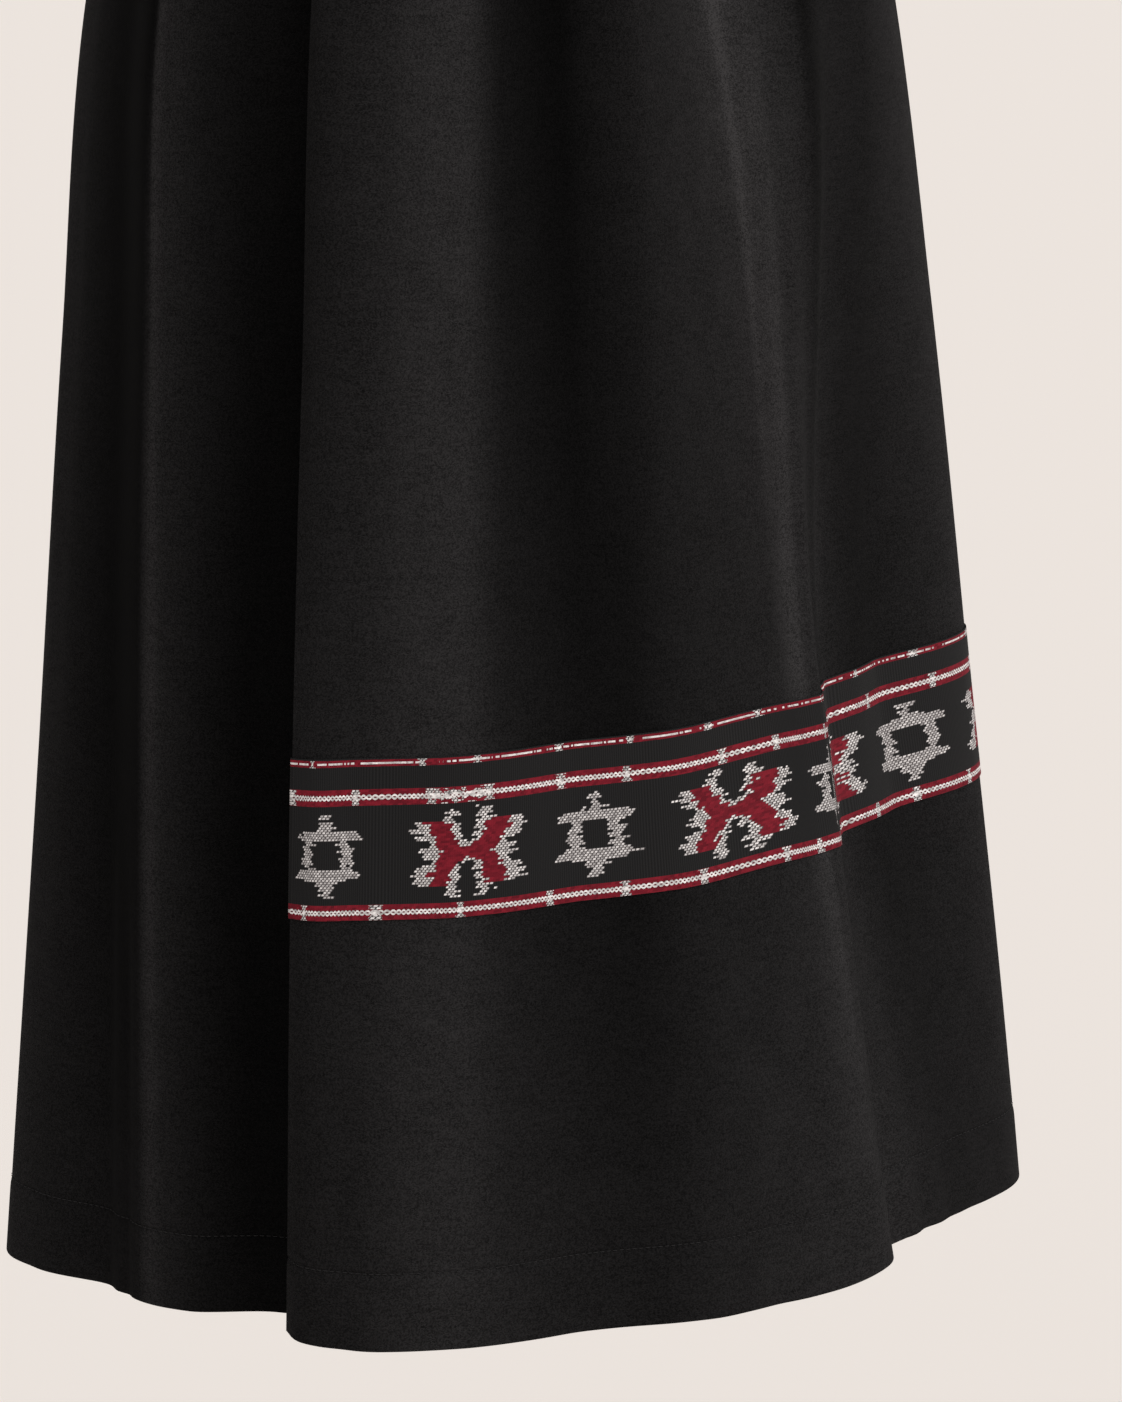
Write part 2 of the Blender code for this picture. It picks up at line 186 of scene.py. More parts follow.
PAINTED_SHADING = (
    PaintedShading(0.0, 0.41, 0.41, 0.52),
    PaintedShading(1.2, 0.42, 0.40, 0.42),
    PaintedShading(1.8, 0.60, 0.54, 0.48),
    PaintedShading(2.3, 0.81, 0.76, 0.60),
    PaintedShading(2.95, 0.86, 0.78, 0.72),
    PaintedShading(3.4, 0.16, 0.34, 0.50),
    PaintedShading(4.0, 0.03, 0.17, 0.38),
    PaintedShading(4.5, 0.31, 0.14, 0.34),
    PaintedShading(5.2, 0.62, 0.34, 0.46),
    PaintedShading(5.7, 0.84, 0.46, 0.60),
    PaintedShading(6.2, 1.16, 0.62, 0.62),
    PaintedShading(6.4, 2.00, 0.74, 0.64),
    PaintedShading(6.6, 1.26, 0.92, 0.66),
    PaintedShading(7.3, 0.92, 1.20, 0.74),
    PaintedShading(7.7, 0.80, 0.72, 0.80),
    PaintedShading(8.5, 0.60, 0.70, 0.85),
    PaintedShading(8.9, 0.46, 0.56, 0.80),
    PaintedShading(9.2, 0.07, 0.50, 0.72),
    PaintedShading(9.7, 0.28, 0.62, 0.62),
    PaintedShading(10.2, 0.44, 0.42, 0.56),
    PaintedShading(10.8, 0.43, 0.24, 0.44),
    PaintedShading(11.5, 0.84, 0.46, 0.48),
    PaintedShading(12.2, 1.10, 1.04, 0.80),
    PaintedShading(13.0, 0.50, 0.50, 0.50),
    PaintedShading(14.0, 0.75, 0.72, 0.70),
    PaintedShading(15.0, 0.25, 0.20, 0.25),
    PaintedShading(16.0, 0.75, 0.74, 0.70),
    PaintedShading(17.0, 0.20, 0.22, 0.28),
    PaintedShading(18.0, 0.78, 0.75, 0.72),
    PaintedShading(19.0, 0.22, 0.20, 0.20),
    PaintedShading(20.0, 0.74, 0.72, 0.70),
    PaintedShading(21.0, 0.25, 0.22, 0.24),
    PaintedShading(22.2, 0.55, 0.52, 0.50),
    PaintedShading(23.3, 0.80, 0.62, 0.64),
    PaintedShading(24.1, 0.36, 0.37, 0.42),
    PaintedShading(25.2, 0.02, 0.06, 0.29),
    PaintedShading(25.8, 0.02, 0.10, 0.36),
    PaintedShading(26.0, 0.05, 0.70, 0.60),
    PaintedShading(26.15, 1.05, 0.90, 0.74),
    PaintedShading(26.5, 0.68, 0.54, 0.48),
    PaintedShading(26.8, 0.60, 0.42, 0.36),
    PaintedShading(27.4, 0.26, 0.20, 0.16),
    PaintedShading(28.1, 0.14, 0.10, 0.10),
    PaintedShading(30.0, 0.12, 0.10, 0.10),
)

CREASES = (
    Crease(3.15, 0.10, 0.88, -0.1, -1.6, 0.22),
    Crease(2.45, 0.16, 0.62, 0.1, 0.9, 0.20),
    Crease(1.55, 0.30, 0.90, 0.0, -0.8, 0.16),
    Crease(4.35, 0.05, 0.55, 0.4, -1.5, 0.22),
    Crease(4.95, 0.10, 0.50, 0.5, 1.0, 0.22),
    Crease(5.55, 0.34, 0.80, 0.3, -1.0, 0.20),
    Crease(5.20, 0.64, 0.90, -0.8, 1.2, 0.16),
    Crease(5.60, 0.70, 0.90, -0.6, -1.3, 0.15),
    Crease(6.20, 0.66, 0.88, -0.4, 0.9, 0.18),
    Crease(3.75, 0.72, 0.90, 0.5, -0.9, 0.16),
    Crease(10.6, 0.30, 0.72, 0.1, 0.8, 0.22),
    Crease(11.3, 0.40, 0.84, 0.1, -0.9, 0.22),
    Crease(9.75, 0.85, 0.90, 0.6, 1.1, 0.16),
    Crease(10.1, 0.85, 0.90, 0.6, -0.9, 0.16),
    Crease(10.4, 0.74, 0.90, 0.2, 0.9, 0.18),
    Crease(10.7, 0.78, 0.90, -0.2, -0.9, 0.16),
    Crease(11.2, 0.76, 0.90, 0.4, 0.7, 0.16),
    Crease(13.6, 0.22, 0.70, 0.3, -1.4, 0.20),
    Crease(14.5, 0.12, 0.60, 0.2, 1.3, 0.18),
    Crease(15.4, 0.46, 0.88, -0.3, -1.2, 0.20),
    Crease(16.5, 0.20, 0.74, 0.3, -1.4, 0.18),
    Crease(17.4, 0.58, 0.90, 0.3, 1.2, 0.18),
    Crease(18.5, 0.10, 0.66, -0.3, -1.3, 0.20),
    Crease(19.5, 0.50, 0.90, 0.2, 1.3, 0.20),
    Crease(20.5, 0.16, 0.72, 0.2, -1.5, 0.18),
    Crease(21.4, 0.60, 0.90, -0.2, 1.1, 0.16),
    Crease(22.5, 0.30, 0.86, 0.2, -1.2, 0.20),
    Crease(23.5, 0.18, 0.64, 0.2, 1.0, 0.18),
    Crease(25.2, 0.62, 0.90, 0.1, 1.2, 0.14),
    Crease(25.5, 0.66, 0.90, 0.0, -1.3, 0.12),
    Crease(27.4, 0.20, 0.82, 0.1, -0.9, 0.20),
    Crease(28.4, 0.30, 0.88, 0.0, 1.0, 0.22),
)

FRONT_FIGURES = (
    Figure(0.0, -0.351), Figure(0.39, -0.296), Figure(1.25, 0.0), Figure(1.70, 0.296), Figure(2.19, 0.513),
    Figure(3.03, 1.0), Figure(3.55, 1.487), Figure(3.73, 1.704), Figure(4.12, 2.0), Figure(4.60, 2.296),
    Figure(5.02, 2.5), Figure(5.53, 3.0), Figure(6.38, 3.5), Figure(7.02, 3.704), Figure(8.0, 3.912),
    Figure(8.4, 5.10), Figure(9.0, 5.15), Figure(10.16, 5.27), Figure(10.44, 5.37), Figure(10.63, 5.487),
    Figure(10.87, 5.704), Figure(11.29, 6.0), Figure(11.54, 6.296), Figure(11.74, 6.60), Figure(12.0, 6.92),
    Figure(13.0, 7.69),
)
BACK_FIGURES = tuple(Figure(13.0 + fold, 7.69 + 0.803 * fold) for fold in range(10))

LAMPS = (
    Lamp("key light", 2.0, 30.0, 50.0, 22.0),
    Lamp("side light", 0.2, 60.0, 70.0, 70.0),
)

PLACE_STEP = 0.02
DROP_STEP = 0.002
CREASE_FADE = 0.35


def monotone(x: np.ndarray, knots: np.ndarray, values: np.ndarray) -> np.ndarray:
    """Smooth curve through the knots that never swings past a crest or a hollow.

    Each stretch is a cubic whose end slopes are the weighted harmonic mean of the straight
    slopes on both sides, and level at a crest or a hollow.

    Args:
        x: where the curve is read.
        knots: rising places of the known values.
        values: known values, one row for each knot.

    Returns:
        The curve's value at each x.
    """
    knots = np.asarray(knots, float)
    values = np.asarray(values, float)
    step = np.diff(knots).reshape((-1,) + (1,) * (values.ndim - 1))
    rise = np.diff(values, axis=0) / step
    slope = np.zeros_like(values)
    slope[0], slope[-1] = rise[0], rise[-1]
    before, after = rise[:-1], rise[1:]
    wide, narrow = 2.0 * step[1:] + step[:-1], step[1:] + 2.0 * step[:-1]
    same = before * after > 0.0
    safe_before = np.where(same, before, 1.0)
    safe_after = np.where(same, after, 1.0)
    slope[1:-1] = np.where(same, (wide + narrow) / (wide / safe_before + narrow / safe_after), 0.0)
    x = np.asarray(x, float)
    place = np.clip(np.searchsorted(knots, x) - 1, 0, len(knots) - 2)
    shape = x.shape + (1,) * (values.ndim - 1)
    length = step[place].reshape(shape)
    t = ((x - knots[place]) / np.diff(knots)[place]).reshape(shape)
    start = (1.0 + 2.0 * t) * (1.0 - t) ** 2 * values[place] + t * (1.0 - t) ** 2 * length * slope[place]
    end = t * t * (3.0 - 2.0 * t) * values[place + 1] + t * t * (t - 1.0) * length * slope[place + 1]
    return start + end


def unit(vectors: np.ndarray) -> np.ndarray:
    """The same directions with a length of one."""
    return vectors / np.linalg.norm(vectors, axis=-1, keepdims=True)


def smooth_step(x: np.ndarray) -> np.ndarray:
    """Rise from 0 to 1 as x goes from 0 to 1, level at both ends."""
    t = np.clip(x, 0.0, 1.0)
    return t * t * (3.0 - 2.0 * t)


def fold_number(name: str) -> int:
    """Place of a named fold in the table."""
    return [fold.name for fold in FOLDS].index(name)


class Drape:
    """The common surface that all the cloth lies on."""

    def creases(self, places: np.ndarray, drops: np.ndarray) -> np.ndarray:
        """Small ridges and troughs, each a bell across and a soft window down the cloth.

        Args:
            places: places among the folds, one a column.
            drops: drops below the waist, one a row.

        Returns:
            Metres outwards at each row and column.
        """
        rows = np.array(CREASES)[:, :, None, None]
        place, top, bottom, lean, depth, width = (rows[:, number] for number in range(6))
        drop = drops[None, :, None]
        across = places[None, None, :] - place - lean * (drop - 0.5 * (top + bottom))
        soft = CREASE_FADE * (bottom - top)
        open_hem = np.where(bottom >= LENGTH - 1e-6, 2.0 * soft, 0.0)
        window = smooth_step((drop - top) / soft) * smooth_step((bottom + open_hem - drop) / soft)
        return (depth * np.exp(-((across / width) ** 2)) * window).sum(axis=0) * MILLIMETRE

    def points(self, places: np.ndarray, drops: np.ndarray) -> np.ndarray:
        """Points of the surface: the oval ring's radius at each angle, plus folds and creases.

        Args:
            places: places among the folds, one a column.
            drops: drops below the waist, one a row.

        Returns:
            Grid of points, one row for each drop and one column for each place.
        """
        table = monotone(places, np.arange(len(FOLDS)), [fold[1:] for fold in FOLDS])
        hip_angle, middle_turn, hem_angle, outs = table[:, 0], table[:, 1], table[:, 2], table[:, 3:]
        share = ((drops - HIP_DROP) / (LENGTH - HIP_DROP))[:, None]
        hump = monotone(np.maximum(drops, HIP_DROP), (HIP_DROP, MIDDLE_DROP, LENGTH), (0.0, 1.0, 0.0))
        angle = np.radians(hip_angle * (1.0 - share) + hem_angle * share + middle_turn * hump[:, None])
        out_drops = (WAISTBAND_DEPTH, HIP_DROP, MIDDLE_DROP, LENGTH)
        out = monotone(np.maximum(drops, WAISTBAND_DEPTH), out_drops, outs.T) * MILLIMETRE
        out = out + self.creases(places, drops)
        level = monotone(drops, [ring.drop for ring in LEVELS], [ring[1:] for ring in LEVELS])
        wide, deep, across = level[:, 0:1], level[:, 1:2], level[:, 2:3]
        radius = wide * deep / np.hypot(deep * np.sin(angle), wide * np.cos(angle)) + out
        x = across + radius * np.sin(angle)
        y = -radius * np.cos(angle)
        z = np.broadcast_to(-drops[:, None], x.shape)
        return np.stack([x, y, z], axis=-1)

    def frame(self, places: np.ndarray, drops: np.ndarray) -> tuple[np.ndarray, np.ndarray, np.ndarray]:
        """Surface points with the outward and forward directions there.

        Args:
            places: places among the folds, one a column.
            drops: drops below the waist, one a row.

        Returns:
            Points, outward directions and directions towards higher places.
        """
        along = self.points(places + PLACE_STEP, drops) - self.points(places - PLACE_STEP, drops)
        down = self.points(places, drops + DROP_STEP) - self.points(places, drops - DROP_STEP)
        return self.points(places, drops), unit(np.cross(down, along)), unit(along)

    def girth(self, places: np.ndarray, drop: float) -> np.ndarray:
        """Length round the surface at one drop, from the first place to each place."""
        row = self.points(places, np.array([drop]))[0]
        return np.concatenate([[0.0], np.cumsum(np.linalg.norm(np.diff(row, axis=0), axis=-1))])

    def painted_shading(self, places: np.ndarray, drops: np.ndarray) -> np.ndarray:
        """Painted shading: painted highlights on crests, painted shade deep in hollows.

        Args:
            places: places among the folds, one a column.
            drops: drops below the waist, one a row.

        Returns:
            The painted shading at each row and column, between the rows of its table.
        """
        table = np.array(PAINTED_SHADING)
        across = monotone(places, table[:, 0], table[:, 1:])
        return monotone(drops, (HIP_DROP, MIDDLE_DROP, LENGTH), across.T)

    def places_at(self, first: float, last: float, drop: float, lengths: np.ndarray,
                  samples: int = 6001) -> np.ndarray:
        """Places at known lengths round the cloth.

        Args:
            first: place that the lengths start from.
            last: place that negative lengths count back from.
            drop: drop that they are measured at.
            lengths: the lengths.
            samples: how finely the surface is measured.

        Returns:
            The place at each length.
        """
        fine = np.linspace(first, last, samples)
        girth = self.girth(fine, drop)
        return np.interp(np.where(lengths < 0.0, girth[-1] + lengths, lengths), girth, fine)

    def even_places(self, first: float, last: float, drop: float, count: int) -> np.ndarray:
        """Places that are evenly spaced round the cloth at one drop.

        Args:
            first: first place.
            last: last place.
            drop: drop that the spacing is measured at.
            count: how many places.

        Returns:
            Rising places, the first and last included.
        """
        fine = np.linspace(first, last, 2001)
        girth = self.girth(fine, drop)
        places = np.interp(np.linspace(0.0, girth[-1], count), girth, fine)
        places[0], places[-1] = first, last
        return places


DRAPE = Drape()


def grid_faces(rows: int, columns: int) -> np.ndarray:
    """Four-sided faces of a grid whose rows go down and whose columns go to the wearer's left.

    Args:
        rows: how many rows of points.
        columns: how many columns of points.

    Returns:
        The faces, each with the numbers of its four points.
    """
    number = np.arange(rows * columns).reshape(rows, columns)
    corners = (number[:-1, :-1], number[1:, :-1], number[1:, 1:], number[:-1, 1:])
    return np.stack(corners, axis=-1).reshape(-1, 4)


def make_object(name: str, points: np.ndarray, faces: np.ndarray,
                uv: np.ndarray | None = None) -> bpy.types.Object:
    """Smooth object from whole arrays.

    Args:
        name: name of the object.
        points: its vertices.
        faces: its faces, all with the same number of corners.
        uv: flat place of each vertex, and the painted shading there as a third column, if it has them.

    Returns:
        The linked object.
    """
    mesh = bpy.data.meshes.new(name)
    sides = faces.shape[1]
    mesh.vertices.add(len(points))
    mesh.vertices.foreach_set("co", np.ascontiguousarray(points, dtype=np.float32).ravel())
    mesh.loops.add(faces.size)
    mesh.loops.foreach_set("vertex_index", np.ascontiguousarray(faces, dtype=np.int32).ravel())
    mesh.polygons.add(len(faces))
    mesh.polygons.foreach_set("loop_start", np.arange(0, faces.size, sides, dtype=np.int32))
    mesh.update(calc_edges=True)
    mesh.validate()
    mesh.polygons.foreach_set("use_smooth", np.ones(len(mesh.polygons), dtype=bool))
    if uv is not None:
        layer = mesh.uv_layers.new(name="cloth")
        index = np.empty(len(mesh.loops), dtype=np.int32)
        mesh.loops.foreach_get("vertex_index", index)
        layer.data.foreach_set("uv", np.ascontiguousarray(uv[index, :2], dtype=np.float32).ravel())
        # The third column is the painted shading, kept as a point attribute.
        if uv.shape[1] > 2:
            painted_shading = mesh.attributes.new("painted_shading", "FLOAT", "POINT")
            painted_shading.data.foreach_set("value", np.ascontiguousarray(uv[:, 2], dtype=np.float32))
    piece = bpy.data.objects.new(name, mesh)
    bpy.context.scene.collection.objects.link(piece)
    return piece


def make_shell(name: str, centre: np.ndarray, out: np.ndarray, half: np.ndarray,
               uv: np.ndarray) -> bpy.types.Object:
    """Closed thin shell: a grid moved out and in by half its thickness, welded round the rim.

    Args:
        name: name of the object.
        centre: grid of points in the middle of the cloth.
        out: outward direction at each point.
        half: half of the thickness at each point, nothing on the rim.
        uv: flat place of each point, and the painted shading there.

    Returns:
        The shell.
    """
    rows, columns = centre.shape[:2]
    points = np.concatenate([(centre + out * half[..., None]).reshape(-1, 3),
                             (centre - out * half[..., None]).reshape(-1, 3)])
    number = np.arange(rows * columns).reshape(rows, columns)
    back = number + rows * columns
    back[0], back[-1] = number[0], number[-1]
    back[:, 0], back[:, -1] = number[:, 0], number[:, -1]
    faces = grid_faces(rows, columns)
    behind = back.ravel()[faces][:, ::-1]
    faces = np.concatenate([faces, behind])
    used = np.unique(faces)
    fresh = np.zeros(len(points), dtype=np.int64)
    fresh[used] = np.arange(len(used))
    flat = np.tile(uv.reshape(rows * columns, -1), (2, 1))
    return make_object(name, points[used], fresh[faces], flat[used])


def half_thickness(rim: np.ndarray, girth: np.ndarray, thick: np.ndarray | float) -> np.ndarray:
    """Half thickness of a sheet with a round rim: a circle's height at each distance in from it.

    Args:
        rim: distance in from the nearer long edge, one a row.
        girth: length along the sheet, one a column.
        thick: full thickness of the cloth.

    Returns:
        Half of the thickness at each row and column, nothing on the rim.
    """
    radius = 0.5 * thick
    distance = np.minimum(rim[:, None], np.minimum(girth, girth[-1] - girth)[None, :])
    inside = np.clip(1.0 - distance / radius, 0.0, 1.0)
    half = radius * np.sqrt(np.clip(1.0 - inside * inside, 0.0, 1.0))
    half[0], half[-1], half[:, 0], half[:, -1] = 0.0, 0.0, 0.0, 0.0
    return half


def operator(operation: str, swapped: bool = False) -> Callable[["Value", "Value | float"], "Value"]:
    """Method for one of Python's operators, as a math node.

    Args:
        operation: Blender's name for it.
        swapped: whether the other number comes first.

    Returns:
        The method.
    """
    def method(self: "Value", other: "Value | float") -> "Value":
        """Math node of the two numbers."""
        pair = (other, self) if swapped else (self, other)
        return self.paint.node("ShaderNodeMath", {"operation": operation}, pair)

    return method


class Value:
    """One number or colour of a shader, which Python's own operators work on."""

    def __init__(self, paint: "Paint", socket: bpy.types.NodeSocket) -> None:
        """Keep the socket and the paint that it belongs to."""
        self.paint = paint
        self.socket = socket

    def math(self, operation: str, *others: "Value | float") -> "Value":
        """Math node of this value and the others."""
        return self.paint.node("ShaderNodeMath", {"operation": operation}, (self, *others))

    __add__ = __radd__ = operator("ADD")
    __sub__ = operator("SUBTRACT")
    __rsub__ = operator("SUBTRACT", swapped=True)
    __mul__ = __rmul__ = operator("MULTIPLY")
    __truediv__ = operator("DIVIDE")
    __lt__ = operator("LESS_THAN")
    __gt__ = operator("GREATER_THAN")
    __or__ = operator("MAXIMUM")

    def __abs__(self) -> "Value":
        """Size without its sign."""
        return self.math("ABSOLUTE")

    def between(self, low: float, high: float) -> "Value":
        """1 where this lies between two numbers."""
        return (self > low) * (self < high)

    def sine(self) -> "Value":
        """Sine."""
        return self.math("SINE")

    def floor(self) -> "Value":
        """Whole number below."""
        return self.math("FLOOR")

    def clamp(self) -> "Value":
        """Kept between 0 and 1."""
        return self.paint.node("ShaderNodeClamp", {}, (self,))


class Paint:
    """A material that is written as expressions."""

    def __init__(self, name: str) -> None:
        """Start a material with nothing but its shader.

        Args:
            name: name of the material.
        """
        self.material = bpy.data.materials.new(name)
        self.material.use_nodes = True
        self.tree = self.material.node_tree
        self.shader = self.tree.nodes["Principled BSDF"]

    def node(self, kind: str, settings: dict, inputs: tuple = (), output: int | str = 0) -> Value:
        """Any node: its settings are made first, and then its sockets are filled or linked.

        Args:
            kind: Blender's type of node.
            settings: what is set on the node, with "stops" for a ramp.
            inputs: values or links in the order of its sockets, None to leave one as it is, or
                pairs of a socket's name and one.
            output: which output is handed back.

        Returns:
            The chosen output.
        """
        node = self.tree.nodes.new(kind)
        for key, setting in settings.items():
            if key != "stops":
                setattr(node, key, setting)
        if "stops" in settings:
            elements = node.color_ramp.elements
            while len(elements) < len(settings["stops"]):
                elements.new(1.0)
            for element, (position, level) in zip(elements, settings["stops"]):
                element.position = position
                element.color = (level, level, level, 1.0)
        for number, entry in enumerate(inputs):
            named = isinstance(entry, tuple) and isinstance(entry[0], str)
            socket, given = entry if named else (number, entry)
            if isinstance(given, Value):
                self.tree.links.new(given.socket, node.inputs[socket])
            elif given is not None:
                node.inputs[socket].default_value = given
        return Value(self, node.outputs[output])

    def vector(self, *parts: Value | float) -> Value:
        """Vector of up to three numbers."""
        return self.node("ShaderNodeCombineXYZ", {}, parts)

    def flat(self) -> tuple[Value, Value]:
        """The two coordinates of the piece's own flat map.

        Returns:
            The place across the cloth and the place down it.
        """
        place = self.node("ShaderNodeUVMap", {"uv_map": "cloth"})
        across = self.node("ShaderNodeSeparateXYZ", {}, (place,), "X")
        down = self.node("ShaderNodeSeparateXYZ", {}, (place,), "Y")
        return across, down

    def attribute(self, name: str) -> Value:
        """Number that each vertex of the piece carries."""
        return self.node("ShaderNodeAttribute", {"attribute_name": name}, (), "Fac")

    def cloud(self, place: Value, scale: float, detail: float = 2.0) -> Value:
        """Soft random value between 0 and 1."""
        inputs = (("Vector", place), ("Scale", scale), ("Detail", detail))
        return self.node("ShaderNodeTexNoise", {"noise_dimensions": "3D"}, inputs)

    def speck(self, *parts: Value | float) -> Value:
        """Random value between 0 and 1 for each whole number or group of numbers."""
        inputs = (("Vector", self.vector(*parts)),)
        return self.node("ShaderNodeTexWhiteNoise", {"noise_dimensions": "3D"}, inputs)

    def profile(self, along: Value, span: float, height: float, stops: tuple) -> Value:
        """Piecewise straight profile.

        Args:
            along: where the profile is read.
            span: largest value along.
            height: largest height.
            stops: pairs of a place along and the height there.

        Returns:
            The height.
        """
        shares = tuple((place / span, level / height) for place, level in stops)
        return self.node("ShaderNodeValToRGB", {"stops": shares}, (along / span,)) * height

    def mix(self, share: Value | float, low: Value | tuple, high: Value | tuple) -> Value:
        """Colour between two colours."""
        colours = [part if isinstance(part, Value) else (*part, 1.0) for part in (low, high)]
        return self.node("ShaderNodeMix", {"data_type": "RGBA"}, (share, *[None] * 5, *colours), 2)

    def set(self, **values: float | tuple) -> None:
        """Set even numbers and colours on the shader's own sockets."""
        for name, given in values.items():
            self.shader.inputs[name.replace("_", " ")].default_value = given

    def drive(self, name: str, value: Value) -> None:
        """Feed one of the shader's sockets."""
        self.tree.links.new(value.socket, self.shader.inputs[name])

    def bump(self, height: Value, strength: float, distance: float) -> None:
        """Fine relief from a height."""
        inputs = (("Strength", strength), ("Distance", distance), ("Height", height))
        self.drive("Normal", self.node("ShaderNodeBump", {}, inputs))


@dataclass(frozen=True)
class BlackTwill:
    """Soft black twill with a fine slanted rib: black in hollows as painted shade, charcoal on crests as
    painted highlights.
    """

    name: str
    # black is the painted shade deep in hollows, crest the painted highlight on crests, and least the
    # lowest level of the painted shading.
    black: tuple[float, float, float] = (0.0, 0.0, 0.0)
    crest: tuple[float, float, float] = (0.0410, 0.0393, 0.0406)
    least: float = 0.034
    grain: float = 0.90
    roughness: float = 0.88
    sheen: float = 0.006
    rib: float = 0.0011
    relief: float = 0.00018
    yarns: tuple[float, float] = (1500.0, 1800.0)

    def material(self) -> bpy.types.Material:
        """Make the cloth's material: the painted shading's level, broken by grain, sets how pale the black
        is.

        Returns:
            The material.
        """
        paint = Paint(self.name)
        across, down = paint.flat()
        place = paint.vector(across, down, 0.0)
        slub = paint.cloud(paint.vector(across * 900.0, down * 260.0, 0.0), 1.0, 2.0)
        cloud = paint.cloud(place, 38.0, 3.0)
        turn = 2.0 * math.pi / self.rib
        rib = ((across + down * 0.8) * turn).sine() * 0.5 + 0.5
        pick = ((down - across * 0.15) * (turn * 1.25)).sine() * 0.5 + 0.5
        row = (down * self.yarns[1]).floor()
        grain = paint.speck((across * self.yarns[0] + row * 0.5).floor(), row, 3.0)
        weft = paint.cloud(paint.vector(across * 60.0, down * 420.0, 5.0), 1.0, 2.0)
        mottle = (slub - 0.5) * 0.6 + (cloud - 0.5) * 0.5 + (weft - 0.5) * 0.5
        # Painted shading read from each vertex: painted shade in hollows, painted highlights on crests.
        painted_shading = paint.attribute("painted_shading") * ((1.0 - self.least) / 2.0) + self.least
        level = (painted_shading * (1.0 + (grain - 0.5) * self.grain + mottle)).clamp()
        paint.drive("Base Color", paint.mix(level, self.black, self.crest))
        paint.drive("Roughness", self.roughness + (cloud - 0.5) * 0.12)
        paint.set(Sheen_Weight=self.sheen, Sheen_Roughness=0.45, Specular_IOR_Level=0.02)
        paint.bump(rib * 0.5 + pick * 0.3 + slub * 1.3, 0.75, self.relief)
        return paint.material


@dataclass(frozen=True)
class StitchThread:
    """Dull sewing thread."""

    name: str
    colour: tuple[float, float, float] = (0.018, 0.0172, 0.018)
    roughness: float = 0.75

    def material(self) -> bpy.types.Material:
        """Make the thread's material.

        Returns:
            The material.
        """
        paint = Paint(self.name)
        paint.set(Base_Color=(*self.colour, 1.0), Roughness=self.roughness, Specular_IOR_Level=0.15)
        return paint.material


@dataclass(frozen=True)
class SatinButton:
    """Satin black button."""

    name: str
    colour: tuple[float, float, float] = (0.014, 0.014, 0.015)
    roughness: float = 0.34

    def material(self) -> bpy.types.Material:
        """Make the button's material, its gloss broken by faint handling marks.

        Returns:
            The material.
        """
        paint = Paint(self.name)
        place = paint.node("ShaderNodeTexCoord", {}, (), "Object")
        paint.set(Base_Color=(*self.colour, 1.0), Specular_IOR_Level=0.5)
        paint.drive("Roughness", self.roughness + paint.cloud(place, 420.0, 3.0) * 0.16)
        return paint.material


